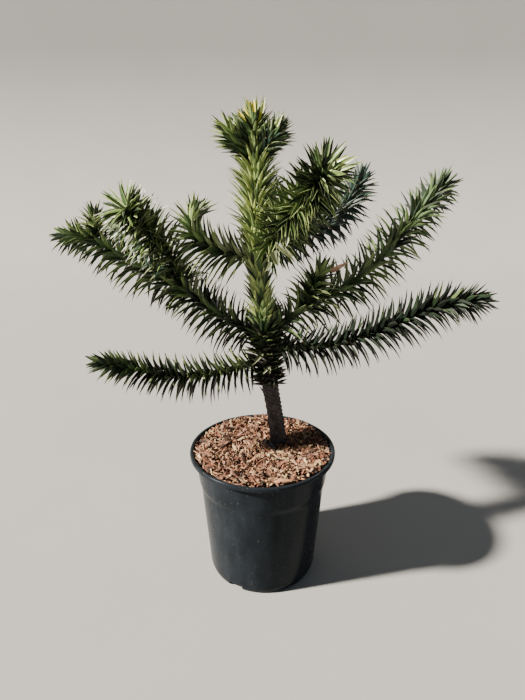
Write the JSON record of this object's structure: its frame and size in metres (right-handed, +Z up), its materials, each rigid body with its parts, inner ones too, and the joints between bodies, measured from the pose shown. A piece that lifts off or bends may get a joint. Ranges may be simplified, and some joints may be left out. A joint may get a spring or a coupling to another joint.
{
  "type": "monkey puzzle sapling",
  "caption": "Young monkey puzzle tree with stiff spiny leaves on a leaning trunk, in a black nursery pot with bark mulch",
  "frame": {"origin": "centre of the flat underside of the pot", "axes": "+Z is up, -Y is the side that the picture is taken from, +X is to the right in the picture"},
  "size_m": [0.6856, 0.3266, 0.7484],
  "materials": {
    "pot_plastic": "soft gloss",
    "potting_soil": "matte",
    "bark_chips": "matte",
    "bark": "rough",
    "leaf": "waxy satin",
    "young_leaf": "waxy satin"
  },
  "bodies": {
    "root": {"pot": "pot_plastic", "root_ball": "potting_soil", "bark_mulch": "bark_chips", "trunk": "bark", "bough_left_low": "bark", "bough_left_high": "bark", "bough_right_low": "bark", "bough_right_high": "bark", "bough_back_low": "bark", "bough_upper_left": "bark", "bough_upper_front": "bark", "bough_upper_right": "bark", "bough_upper_back": "bark", "foliage_left_low": "leaf", "foliage_left_high": "leaf", "foliage_right_low": "leaf", "foliage_right_high": "leaf", "foliage_back_low": "leaf", "foliage_upper_left": "leaf", "foliage_upper_front": "leaf", "foliage_upper_right": "leaf", "foliage_upper_back": "leaf", "foliage_crown_left": "young_leaf", "foliage_crown_front": "young_leaf", "foliage_crown_right": "young_leaf", "foliage_crown_back": "young_leaf", "foliage_trunk_low": "leaf", "foliage_trunk_middle": "leaf", "foliage_trunk_upper": "leaf", "foliage_leader": "young_leaf"}
  },
  "joints": []
}
